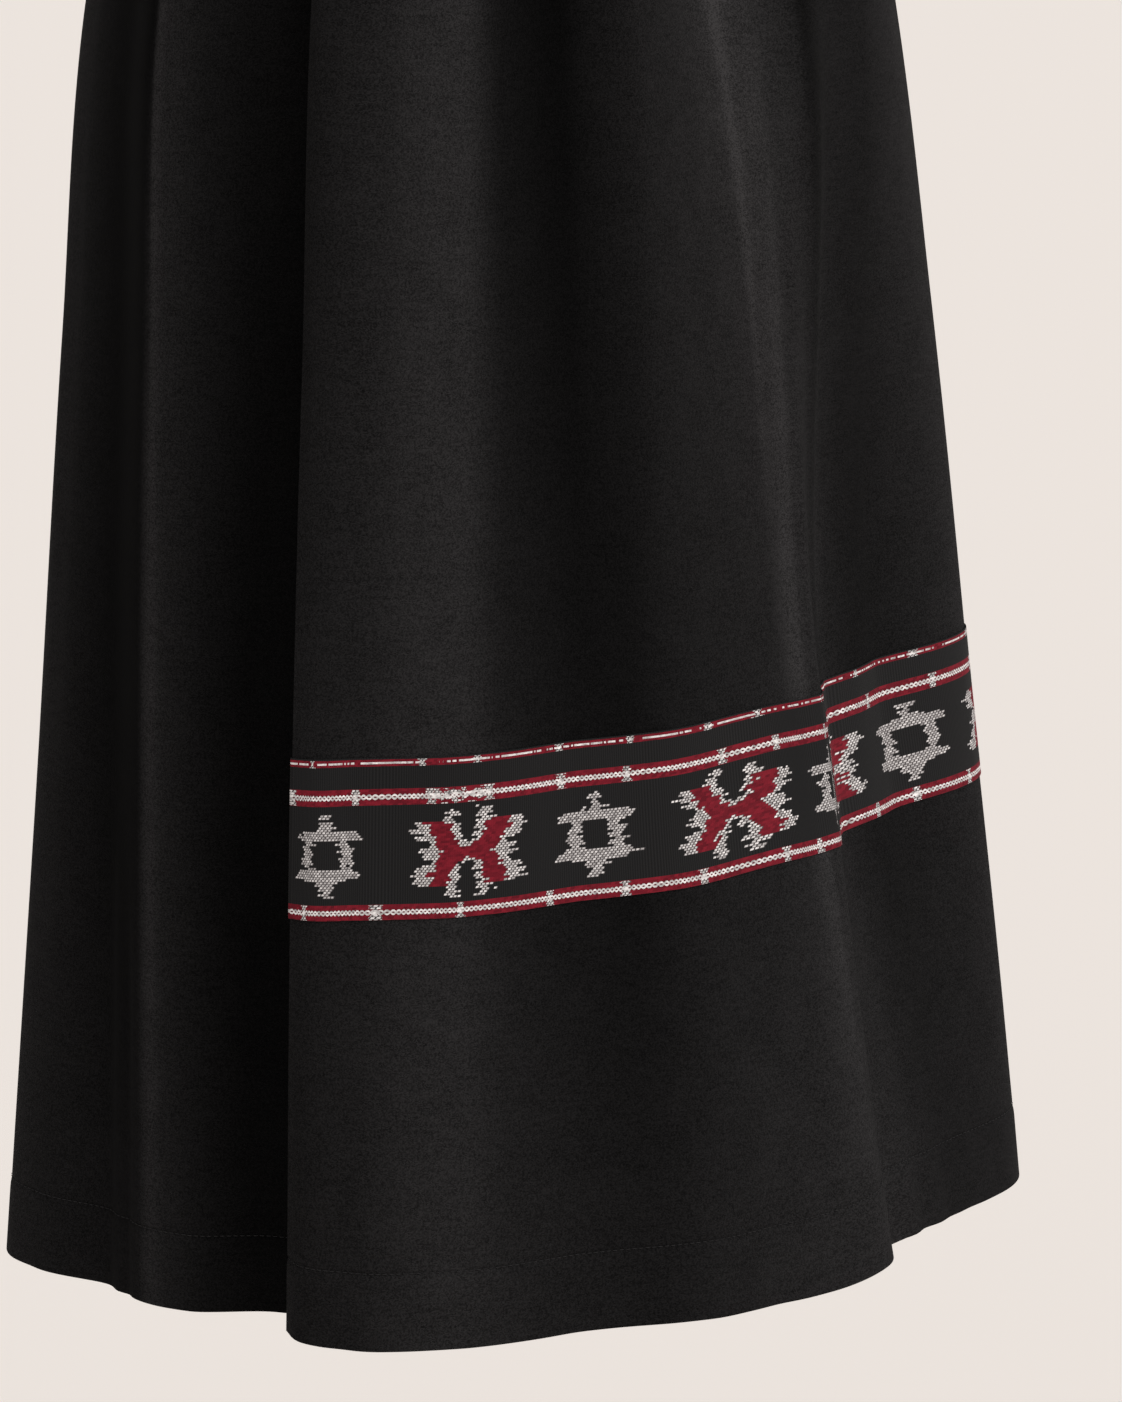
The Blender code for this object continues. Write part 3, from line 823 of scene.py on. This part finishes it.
@dataclass(frozen=True)
class IkatCloth:
    """Woven strip whose warp was tied and dyed: charcoal ground, red and white figures."""

    name: str
    half_repeat: float = 76.0
    yarn: float = 1.25
    dash: float = 2.2
    ground: tuple[float, float, float] = (0.0150, 0.0145, 0.0150)
    rib_shade: tuple[float, float, float] = (0.0055, 0.0053, 0.0056)
    red: tuple[float, float, float] = (0.190, 0.011, 0.021)
    deep_red: tuple[float, float, float] = (0.075, 0.005, 0.010)
    white: tuple[float, float, float] = (0.90, 0.86, 0.85)
    grey: tuple[float, float, float] = (0.075, 0.066, 0.068)
    roughness: float = 0.85
    figures: tuple[float, float] = (24.7, 76.2)
    figure_middle: float = 50.4
    thin_stripe: tuple[float, float] = (0.8, 4.3)
    wide_stripe: tuple[float, float] = (16.0, 24.5)
    low_stripe: tuple[float, float] = (76.2, 84.3)
    thin_line: float = 2.6
    wide_cord: float = 20.2
    low_cord: float = 80.3

    def star(self, paint: Paint, aside: Value, high: Value) -> Value:
        """White star: a ring with toothed sides, two long bars, two gables and two knobs.

        Args:
            paint: the material.
            aside: millimetres to the side of the star's middle.
            high: millimetres above or below it.

        Returns:
            Mask of the white yarn.
        """
        outline = paint.profile(high, 26.0, 26.0, (
            (0.0, 14.8), (1.6, 16.6), (3.4, 17.0), (5.4, 14.6), (7.4, 15.6), (7.9, 21.0), (10.0, 22.6),
            (12.6, 18.5), (13.2, 6.6), (16.5, 4.6), (18.4, 2.6), (19.2, 2.9), (21.6, 2.5),
            (22.3, 0.0),
        ))
        hole = (aside < 8.2) * (high < 7.5)
        return (aside < outline) * (1.0 - hole)

    def cross(self, paint: Paint, aside: Value, high: Value) -> tuple[Value, Value]:
        """Leaning cross: two red columns that lean in to a middle bar, with white outlines.

        Args:
            paint: the material.
            aside: millimetres to the side of the cross's middle.
            high: millimetres above or below it.

        Returns:
            Masks of the white yarn and of the red yarn.
        """
        outside = paint.profile(high, 30.0, 40.0, (
            (0.0, 23.5), (1.6, 28.0), (3.6, 21.5), (5.4, 22.0), (7.2, 28.0), (8.6, 31.0), (10.0, 26.0),
            (12.2, 35.0), (13.4, 30.0), (15.2, 31.5), (16.8, 28.5), (17.2, 13.6), (19.0, 13.6),
            (21.0, 12.4), (23.4, 11.0), (23.8, 0.0),
        ))
        red_outside = paint.profile(high, 30.0, 40.0, (
            (0.0, 14.0), (2.2, 15.0), (4.0, 19.2), (5.4, 17.6), (7.4, 20.6), (9.0, 18.6), (11.0, 22.4),
            (13.0, 21.2), (16.7, 23.0), (17.0, 0.0),
        ))
        red_inside = paint.profile(high, 30.0, 40.0, (
            (0.0, 0.0), (2.7, 0.0), (2.9, 3.2), (4.6, 5.4), (7.0, 7.4), (12.0, 9.6), (16.0, 10.4),
            (18.0, 14.4),
        ))
        inside = paint.profile(high, 30.0, 40.0, (
            (0.0, 0.0), (4.9, 0.0), (5.2, 2.6), (9.0, 4.2), (13.0, 4.8), (18.0, 6.4), (23.0, 5.8),
            (24.0, 7.0),
        ))
        body = (aside < outside) * (aside > inside)
        red = (aside < red_outside) * (aside > red_inside)
        return body * (1.0 - red), red

    def bows(self, paint: Paint, along: Value, middle: float, reach: float, down: Value,
             shift: float) -> Value:
        """Small white bow ties across a red stripe, unevenly spaced.

        Args:
            paint: the material.
            along: millimetres along the band.
            middle: millimetres from the band's top to the stripe's middle.
            reach: half of the stripe's height.
            down: millimetres from the band's top.
            shift: millimetres that the spacing starts from.

        Returns:
            Mask of the white yarn.
        """
        spacing, first, drift = 42.0, 11.0, 20.0
        count = ((along + shift) / spacing).floor()
        wander = paint.speck(count, middle, 7.0) * drift
        aside = abs(along + shift - count * spacing - first - wander)
        share = abs(down - middle) / reach
        ragged = paint.speck((down / 0.8).floor(), count, 5.0) * 1.8 - 0.5
        return (aside < 0.6 + share * 1.6 + ragged) * (share < 1.0)

    def chain(self, along: Value, middle: float, down: Value) -> Value:
        """White cord of two yarns that cross each other, as two waves.

        Args:
            along: millimetres along the band.
            middle: millimetres from the band's top to the cord.
            down: millimetres from the band's top.

        Returns:
            Mask of the white yarn.
        """
        wave = (along * (2.0 * math.pi / 4.8)).sine() * 0.95
        off = down - middle
        return (abs(off - wave) < 0.55) | (abs(off + wave) < 0.55)

    def material(self) -> bpy.types.Material:
        """Make the band's material: repeat number across, metres down.

        Each row of yarn is cut into short cells. Cells inside a figure's profile are white or
        red, the stripes are red with white cords and bows, and the rest is ribbed charcoal.

        Returns:
            The material.
        """
        paint = Paint(self.name)
        across, down_metres = paint.flat()
        down = down_metres * 1000.0
        along = across * self.half_repeat
        row = (down / self.yarn).floor()
        slide = down / self.yarn - row
        step = along / self.dash + row * 0.5 + slide * 0.22
        cell = step.floor()
        run = step - cell
        centre = (cell + 0.5 - row * 0.5) / (self.half_repeat / self.dash)
        number = (centre + 0.5).floor()
        signed = (centre - number) * self.half_repeat
        turn = number - (number / 2.0).floor() * 2.0
        here = {motif: abs(turn - motif.value) < 0.5 for motif in Motif}
        side = number * 2.0 + (signed > 0.0)
        aside = (abs(signed) + (paint.speck((row / 2.0).floor(), side, 3.0) - 0.5) * 1.2
                 + (paint.speck(row, side, 13.0) - 0.5) * 3.4 + (paint.speck(cell, row, 9.0) - 0.5) * 3.6)
        aside = aside.math("MAXIMUM", 0.05)
        high = abs((row + 0.5) * self.yarn - self.figure_middle)
        field = down.between(*self.figures)
        star = self.star(paint, aside, high)
        cross, cross_red = self.cross(paint, aside, high)
        figure = (star * here[Motif.STAR] + cross * here[Motif.CROSS]) * field
        stripes = (down.between(*self.thin_stripe) | down.between(*self.wide_stripe)
                   | down.between(*self.low_stripe))
        red = (cross_red * here[Motif.CROSS] * field) | stripes
        dots = paint.speck((along / 1.1).floor(), 4.0, 1.0)
        fade = paint.cloud(paint.vector(along * 0.045, 3.0, 0.0), 1.0, 1.0) + (dots - 0.5) * 0.30
        broken = (fade > 0.43) | (along < -24.0)
        thin = (abs(down - self.thin_line) < 0.5) * broken
        full = (abs(down - self.wide_cord) < 1.45) | (abs(down - self.low_cord) < 1.35)
        cords = (self.chain(along, self.wide_cord, down) | self.chain(along, self.low_cord, down)
                 | (full * (along < -30.0)))
        bows = (self.bows(paint, along, self.wide_cord, 4.0, down, 12.0)
                | self.bows(paint, along, self.low_cord, 3.9, down, 30.0)
                | self.bows(paint, along, self.thin_line, 1.8, down, 21.0))
        flare = paint.cloud(paint.vector(along * 0.20, down * 0.45, 9.0), 1.0, 1.0) > 0.50
        bows = bows | (flare * along.between(54.0, 86.0) * down.between(16.6, 24.4))
        white = figure | thin | cords | bows
        dash = (run.between(0.12, 0.78) * slide.between(0.10, 0.85)) | full | thin
        rib = (along * (2.0 * math.pi / 1.25)).sine() * 0.5 + 0.5
        ground = paint.mix(rib * 0.7, self.ground, self.rib_shade)
        shade = paint.speck(cell, row, 5.0)
        red_yarn = paint.mix((shade * 0.8 * (1.0 - full) + full * 0.9).clamp(), self.red, self.deep_red)
        worn = paint.cloud(paint.vector(along * 0.42, down * 0.50, 5.0), 1.0, 2.0)
        patchy = (worn * 2.6 - 0.45).clamp()
        bright = dash * (0.55 + shade * 0.45) * patchy * (1.0 - star * here[Motif.STAR] * 0.18)
        white_yarn = paint.mix(bright, self.grey, self.white)
        colour = paint.mix(red, ground, red_yarn)
        colour = paint.mix(white, colour, white_yarn)
        paint.drive("Base Color", colour)
        paint.set(Roughness=self.roughness, Specular_IOR_Level=0.08)
        paint.set(Sheen_Weight=0.03, Sheen_Roughness=0.45)
        pick = (down * (2.0 * math.pi / 0.75)).sine() * 0.5 + 0.5
        paint.bump(rib * 0.5 + pick * 0.4 + white * (0.3 + dash * 0.6), 0.7, 0.00016)
        return paint.material


def dress(piece: bpy.types.Object, material: bpy.types.Material, slot: str,
          *nodes: str) -> bpy.types.Object:
    """Give a piece its material and its body, and hide the CAD nodes that it stands for.

    Args:
        piece: the piece.
        material: its finish.
        slot: not used.
        nodes: CAD nodes that it stands for.

    Returns:
        The same piece.
    """
    piece.data.materials.clear()
    piece.data.materials.append(material)
    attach(piece, "root")
    if nodes:
        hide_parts(*nodes)
    LOG.info("%s: %d faces", piece.name, len(piece.data.polygons))
    return piece


@dataclass
class SkirtPanel:
    """One panel: a thin shell from under the waistband to its turned-up, stitched hem."""

    node: str
    first_fold: str
    last_fold: str
    columns: int
    flat_size: tuple[float, float]
    flat_area: float
    thick: float = 0.0012
    hem_thick: float = 0.0024
    top: float = 0.0020
    rows: int = 104
    groove: float = 0.00045
    seam_radius: float = 0.0016
    even_drop: float = 0.75

    def drops(self) -> np.ndarray:
        """Drops of the rows: even, closer along the stitch line and closest at the hem's fold.

        Returns:
            Rising drops below the waist.
        """
        stitch_line = LENGTH - HEM_DEPTH
        body = np.linspace(self.top, stitch_line - 0.006, self.rows)
        near = np.array([-4.0, -2.6, -1.6, -0.9, -0.4, 0.0, 0.4, 0.9, 1.6, 2.6, 4.2])
        stitched = stitch_line + near * MILLIMETRE
        hem = np.linspace(stitch_line + 0.007, LENGTH - 0.0030, 14)
        turn = LENGTH - np.array([1.6, 1.2, 0.8, 0.45, 0.2, 0.05, 0.0]) * MILLIMETRE
        top = self.top + np.array([0.0, 0.1, 0.3, 0.6]) * MILLIMETRE
        return np.unique(np.concatenate([top, body, stitched, hem, turn]))

    def places(self) -> np.ndarray:
        """Places of the columns, closer at both edges.

        Returns:
            Rising places among the folds.
        """
        first, last = fold_number(self.first_fold), fold_number(self.last_fold)
        even = DRAPE.even_places(first, last, self.even_drop, self.columns)
        near = np.array([0.05, 0.2, 0.45, 0.8, 1.2, 1.7]) * MILLIMETRE
        edges = DRAPE.places_at(first, last, self.even_drop, np.concatenate([near, -near]))
        return np.unique(np.concatenate([even, edges]))

    def relief(self, drops: np.ndarray, girth: np.ndarray) -> np.ndarray:
        """Dent of the hem's stitch line, with puckers that swell and fade along it.

        Args:
            drops: drops of the rows.
            girth: length round the cloth at each column.

        Returns:
            Metres outwards at each row and column.
        """
        off = (drops - (LENGTH - HEM_DEPTH))[:, None]
        turn = girth * 2.0 * np.pi
        dent = -0.45 * MILLIMETRE * np.exp(-((off / 0.0011) ** 2))
        swell = 0.5 + 0.5 * np.sin(turn / 0.143 + 1.0) * np.sin(turn / 0.061)
        pucker = np.sin(turn / 0.0135 + 2.0 * np.sin(turn / 0.047))
        fade = np.exp(-((off / 0.010) ** 2))
        roll = 0.5 * MILLIMETRE * smooth_step(off / 0.006)
        return dent + roll + 0.22 * MILLIMETRE * (swell * pucker)[None, :] * fade

    def build(self, finish: BlackTwill) -> bpy.types.Object:
        """Build the panel and dress it.

        Args:
            finish: its cloth.

        Returns:
            The panel.
        """
        drops, places = self.drops(), self.places()
        points, out, _ = DRAPE.frame(places, drops)
        girth = DRAPE.girth(places, self.even_drop)
        step = smooth_step((drops - (LENGTH - HEM_DEPTH - self.thick)) / self.thick)
        thick = (self.thick + (self.hem_thick - self.thick) * step)[:, None]
        half = half_thickness(np.minimum(LENGTH - drops, drops - self.top), girth, thick)
        seam = np.zeros(len(places))
        if self.first_fold.endswith("seam"):
            seam = seam + np.exp(-((girth / self.seam_radius) ** 2))
        if self.last_fold.endswith("seam"):
            seam = seam + np.exp(-(((girth[-1] - girth) / self.seam_radius) ** 2))
        lift = self.relief(drops, girth) - 0.5 * thick - self.groove * seam[None, :]
        # Painted shading of each point: painted shade in hollows, painted highlights on crests.
        painted_shading = DRAPE.painted_shading(places, drops)
        uv = np.stack(np.broadcast_arrays(girth[None, :], drops[:, None], painted_shading), axis=-1)
        piece = make_shell(self.node + "_cloth", points + out * lift[..., None], out, half, uv)
        return dress(piece, finish.material(), self.node, self.node)


@dataclass
class IkatBand:
    """Woven strip laid on a panel, its cut end turned round the free edge where there is one."""

    node: str
    first_fold: str
    last_fold: str
    columns: int
    flat_size: tuple[float, float]
    figures: tuple[Figure, ...]
    inside: float = 0.0
    thick: float = 0.0007
    lift: float = 0.00025
    panel_thick: float = 0.0012
    rows: int = 22
    samples: int = 4001

    def path(self) -> tuple[np.ndarray, np.ndarray]:
        """Columns of the strip, with those of a turned-in end first and the rest along the cloth.

        Returns:
            The place of each and how far it has turned round the free edge, in radians.
        """
        first, last = fold_number(self.first_fold), fold_number(self.last_fold)
        middle = BAND_TOP_DROP + 0.5 * BAND_DEPTH
        places = DRAPE.even_places(first, last, middle, self.columns)
        turn = np.zeros(len(places))
        if self.inside > 0.0:
            reach = np.array([1.0, 0.995, 0.98, 0.9, 0.7, 0.5, 0.3, 0.15, 0.05]) * self.inside
            back = DRAPE.places_at(first, last, middle, reach, self.samples)
            bend = np.linspace(np.pi, 0.0, 11)[1:]
            hub = DRAPE.places_at(first, last, middle, np.array(0.5 * self.panel_thick), self.samples)
            places = np.concatenate([back, np.full(len(bend), hub), places[1:]])
            turn = np.concatenate([np.full(len(back), np.pi), bend, np.zeros(len(turn) - 1)])
        near = np.array([0.2, 0.6, 1.2]) * MILLIMETRE
        extra = DRAPE.places_at(first, last, middle, -near, self.samples)
        places = np.concatenate([places, extra])
        turn = np.concatenate([turn, np.zeros(len(extra))])
        order = np.lexsort((np.where(turn > 1.0, -places, places), -turn))
        return places[order], turn[order]

    def build(self, finish: IkatCloth) -> bpy.types.Object:
        """Build the strip and dress it. Its flat map counts repeats across and metres down.

        Args:
            finish: its cloth.

        Returns:
            The strip.
        """
        places, turn = self.path()
        near = np.array([0.0, 0.1, 0.3, 0.6]) * MILLIMETRE
        even = np.linspace(0.0, BAND_DEPTH, self.rows)[1:-1]
        below = np.unique(np.concatenate([near, even, BAND_DEPTH - near]))
        points, out, forward = DRAPE.frame(places, BAND_TOP_DROP + below)
        radius = 0.5 * self.panel_thick + self.lift + 0.5 * self.thick
        facing = out * np.cos(turn)[None, :, None] - forward * np.sin(turn)[None, :, None]
        centre = points - out * (0.5 * self.panel_thick) + facing * radius
        steps = np.linalg.norm(np.diff(centre.mean(axis=0), axis=0), axis=-1)
        girth = np.concatenate([[0.0], np.cumsum(steps)])
        half = half_thickness(np.minimum(below, BAND_DEPTH - below), girth, self.thick)
        known = np.array(self.figures)
        corner = np.interp(np.pi / 2.0, turn[::-1], girth[::-1]) if self.inside > 0.0 else 0.0
        outer = np.where(turn > 0.5 * np.pi, known[0, 0], places)
        turned = np.clip(corner - girth, 0.0, 1.0) / (finish.half_repeat * MILLIMETRE)
        repeats = monotone(outer, known[:, 0], known[:, 1]) - turned
        uv = np.stack(np.broadcast_arrays(repeats[None, :], below[:, None]), axis=-1)
        piece = make_shell(self.node + "_cloth", centre, facing, half, uv)
        return dress(piece, finish.material(), self.node, self.node)


@dataclass
class HemStitching:
    """Machine stitches along the hem of one panel, each a short round bar."""

    node: str
    first_fold: str
    last_fold: str
    stitch: Stitch = Stitch(0.0035, 0.0026, 0.00045)
    sides: int = 6

    def build(self, finish: StitchThread) -> bpy.types.Object:
        """Build the row of stitches: every one is the same bar, carried along the stitch line.

        Args:
            finish: the thread.

        Returns:
            The stitches.
        """
        drop = LENGTH - HEM_DEPTH
        fine = np.linspace(fold_number(self.first_fold), fold_number(self.last_fold), 8001)
        girth = DRAPE.girth(fine, drop)
        count = int((girth[-1] - 0.004) / self.stitch.pitch)
        at = 0.002 + (np.arange(count) + 0.5) * self.stitch.pitch
        along = np.array([-0.5, -0.42, -0.2, 0.2, 0.42, 0.5]) * self.stitch.length
        swell = np.array([0.25, 0.75, 1.0, 1.0, 0.75, 0.25]) * 0.5 * self.stitch.thick
        sink = np.array([-0.34, -0.16, 0.0, 0.0, -0.16, -0.34]) * MILLIMETRE
        places = np.interp((at[:, None] + along[None, :]).ravel(), girth, fine)
        points, out, forward = (part[0] for part in DRAPE.frame(places, np.array([drop])))
        down = np.cross(forward, out)
        base = points + out * (np.tile(sink, count) + 0.10 * MILLIMETRE)[:, None]
        turn = np.arange(self.sides) * 2.0 * np.pi / self.sides
        ring = out[:, None] * np.cos(turn)[None, :, None] + down[:, None] * np.sin(turn)[None, :, None]
        cloud = base[:, None] + ring * np.tile(swell, count)[:, None, None]
        links = np.arange(len(along) * self.sides).reshape(len(along), self.sides)
        following = np.roll(links, -1, axis=1)
        one = np.stack([links[:-1], links[1:], following[1:], following[:-1]], axis=-1).reshape(-1, 4)
        near_cap = links[0, [[0, 1, 2, 3], [0, 3, 4, 5]]]
        far_cap = links[-1, [[3, 2, 1, 0], [5, 4, 3, 0]]]
        one = np.concatenate([one, near_cap, far_cap])
        faces = (one[None] + (np.arange(count) * links.size)[:, None, None]).reshape(-1, 4)
        piece = make_object(self.node + "_hem_stitches", cloud.reshape(-1, 3), faces)
        return dress(piece, finish.material(), self.node)


@dataclass
class Waistband:
    """Folded strip over the panels' top edges, edge-stitched, open below and lapped."""

    node: str = "waistband"
    wall: float = 0.0015
    panel_wall: float = 0.0016
    clear: float = 0.0003
    columns: int = 330
    flat_size: tuple[float, float] = (0.782, 0.076)
    even_drop: float = 0.02

    def profile(self) -> tuple[np.ndarray, np.ndarray]:
        """Cross-section of the strip's middle: up the front, round the top and down the back.

        Returns:
            Drops below the waist and offsets outwards.
        """
        outside = self.clear + 0.5 * self.wall
        back = -(self.panel_wall + self.clear) - 0.5 * self.wall
        radius = 0.5 * (outside - back)
        middle = 0.5 * (outside + back)
        bend = np.linspace(np.pi, 0.0, 9)
        down = np.concatenate([[0.2, 0.6, 1.4, 2.6, 4.0], np.linspace(6.0, 30.0, 13)]) * MILLIMETRE
        front = np.concatenate([[WAISTBAND_DEPTH], WAISTBAND_DEPTH - down])
        top = radius + 0.5 * self.wall - radius * np.sin(bend)[::-1]
        round_top = middle + radius * np.cos(bend)[::-1]
        drops = np.concatenate([front, top, front[::-1]])
        offsets = np.concatenate([np.full(len(front), outside), round_top, np.full(len(front), back)])
        return drops, offsets

    def build(self, finish: BlackTwill) -> bpy.types.Object:
        """Build the strip along all the places, with a dent at its lower stitch line.

        Args:
            finish: its cloth.

        Returns:
            The strip.
        """
        last = len(FOLDS) - 1
        places = DRAPE.even_places(0.0, last, self.even_drop, self.columns)
        near = np.array([0.1, 0.35, 0.8, 1.5]) * MILLIMETRE
        edges = DRAPE.places_at(0.0, last, self.even_drop, np.concatenate([near, -near]))
        places = np.unique(np.concatenate([places, edges]))
        drops, offsets = self.profile()
        _, out, _ = DRAPE.frame(places, np.array([self.wall]))
        flat = unit(out[0] * (1.0, 1.0, 0.0))
        rings, _, _ = DRAPE.frame(places, drops)
        dent = -0.35 * MILLIMETRE * np.exp(-(((drops - WAISTBAND_DEPTH + 0.0026) / 0.0009) ** 2))
        sign = np.sign(offsets - offsets.mean())
        centre = rings + flat[None] * (offsets + dent * sign)[:, None, None]
        across = np.gradient(centre, axis=1)
        along = np.gradient(centre, axis=0)
        facing = unit(np.cross(across, along))
        girth = DRAPE.girth(places, self.even_drop)
        length = np.concatenate([[0.0], np.cumsum(np.hypot(np.diff(drops), np.diff(offsets)))])
        half = half_thickness(np.minimum(length, length[-1] - length), girth, self.wall)
        uv = np.stack(np.broadcast_arrays(girth[None, :], length[:, None], 0.5), axis=-1)
        piece = make_shell(self.node + "_cloth", centre[::-1], facing[::-1], half[::-1], uv[::-1])
        return dress(piece, finish.material(), self.node, self.node)


@dataclass
class Studio:
    """Pale floor, soft light and the camera."""

    floor_drop: float = 1.55
    floor_radius: float = 60.0
    floor_colour: tuple[float, float, float] = (0.90, 0.845, 0.81)
    turn: float = -25.0
    pitch: float = 14.0
    distance: float = 3.2
    aside: float = 0.0219
    height: float = -0.6078
    lens: float = 152.0
    sensor: float = 36.0
    surroundings: float = 0.50

    def floor(self) -> None:
        """Plain pale floor, a wide round sheet."""
        sides = 96
        turn = np.arange(sides) * 2.0 * np.pi / sides
        rim = np.stack([np.cos(turn), np.sin(turn), 0.0 * turn], axis=-1) * self.floor_radius
        points = np.concatenate([rim, [(0.0, 0.0, 0.0)]]) - (0.0, 0.0, self.floor_drop)
        ids = np.arange(sides)
        faces = np.stack([ids, np.roll(ids, -1), np.full(sides, sides)], axis=-1)
        piece = make_object("studio_floor", points, faces)
        paint = Paint("pale floor")
        paint.set(Base_Color=(*self.floor_colour, 1.0), Roughness=1.0, Specular_IOR_Level=0.0)
        piece.data.materials.append(paint.material)

    def light(self) -> None:
        """Even pale surroundings and two soft suns, the stronger from the front on the wearer's left."""
        world = bpy.data.worlds.new("studio light")
        world.use_nodes = True
        background = world.node_tree.nodes["Background"]
        background.inputs["Color"].default_value = (1.0, 0.985, 0.965, 1.0)
        background.inputs["Strength"].default_value = self.surroundings
        bpy.context.scene.world = world
        for lamp in LAMPS:
            light = bpy.data.lights.new(lamp.name, "SUN")
            light.energy = lamp.power
            light.angle = math.radians(lamp.size)
            light.color = (1.0, 0.985, 0.96)
            sun = bpy.data.objects.new(lamp.name, light)
            sun.rotation_euler = Euler((math.radians(lamp.tilt), 0.0, math.radians(lamp.turn)))
            bpy.context.scene.collection.objects.link(sun)

    def camera(self) -> None:
        """Camera a little above the waist, looking down on the skirt from the wearer's right."""
        turn, pitch = math.radians(self.turn), math.radians(self.pitch)
        right = Vector((math.cos(turn), math.sin(turn), 0.0))
        level = math.cos(pitch)
        back = Vector((math.sin(turn) * level, -math.cos(turn) * level, math.sin(pitch)))
        camera = bpy.data.cameras.new("camera")
        camera.sensor_width = self.sensor
        camera.lens = self.lens
        camera.clip_end = 200.0
        holder = bpy.data.objects.new("camera", camera)
        holder.location = right * self.aside + Vector((0.0, 0.0, self.height)) + back * self.distance
        holder.rotation_euler = Euler((math.radians(90.0 - self.pitch), 0.0, turn))
        bpy.context.scene.collection.objects.link(holder)
        bpy.context.scene.camera = holder
        bpy.context.scene.view_settings.view_transform = "Standard"


def main() -> None:
    """Build the skirt piece by piece, then the studio."""
    logging.basicConfig(level=logging.INFO, format="%(name)s: %(message)s")
    twill, thread = BlackTwill("black twill"), StitchThread("black thread")
    panels = (
        SkirtPanel("front_panel", "free edge", "left seam", 262, (0.680, 0.922), 0.481),
        SkirtPanel("back_panel", "left seam", "right seam", 244, (0.620, 0.922), 0.449),
        SkirtPanel("under_panel", "right seam", "under end", 154, (0.400, 0.930), 0.291),
    )
    for panel in panels:
        panel.build(twill)
        HemStitching(panel.node, panel.first_fold, panel.last_fold).build(thread)
    Waistband().build(twill)
    front = IkatBand("front_ikat_band", "free edge", "left seam", 250, (0.590, 0.0852),
                     FRONT_FIGURES, inside=0.013)
    back = IkatBand("back_ikat_band", "left seam", "right seam", 230, (0.549, 0.0850), BACK_FIGURES)
    front.build(IkatCloth("front ikat"))
    back.build(IkatCloth("back ikat"))
    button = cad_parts["waist_button"]
    button.data.materials.clear()
    button.data.materials.append(SatinButton("satin button").material())
    studio = Studio()
    studio.floor()
    studio.light()
    studio.camera()


if __name__ == "__main__":
    main()
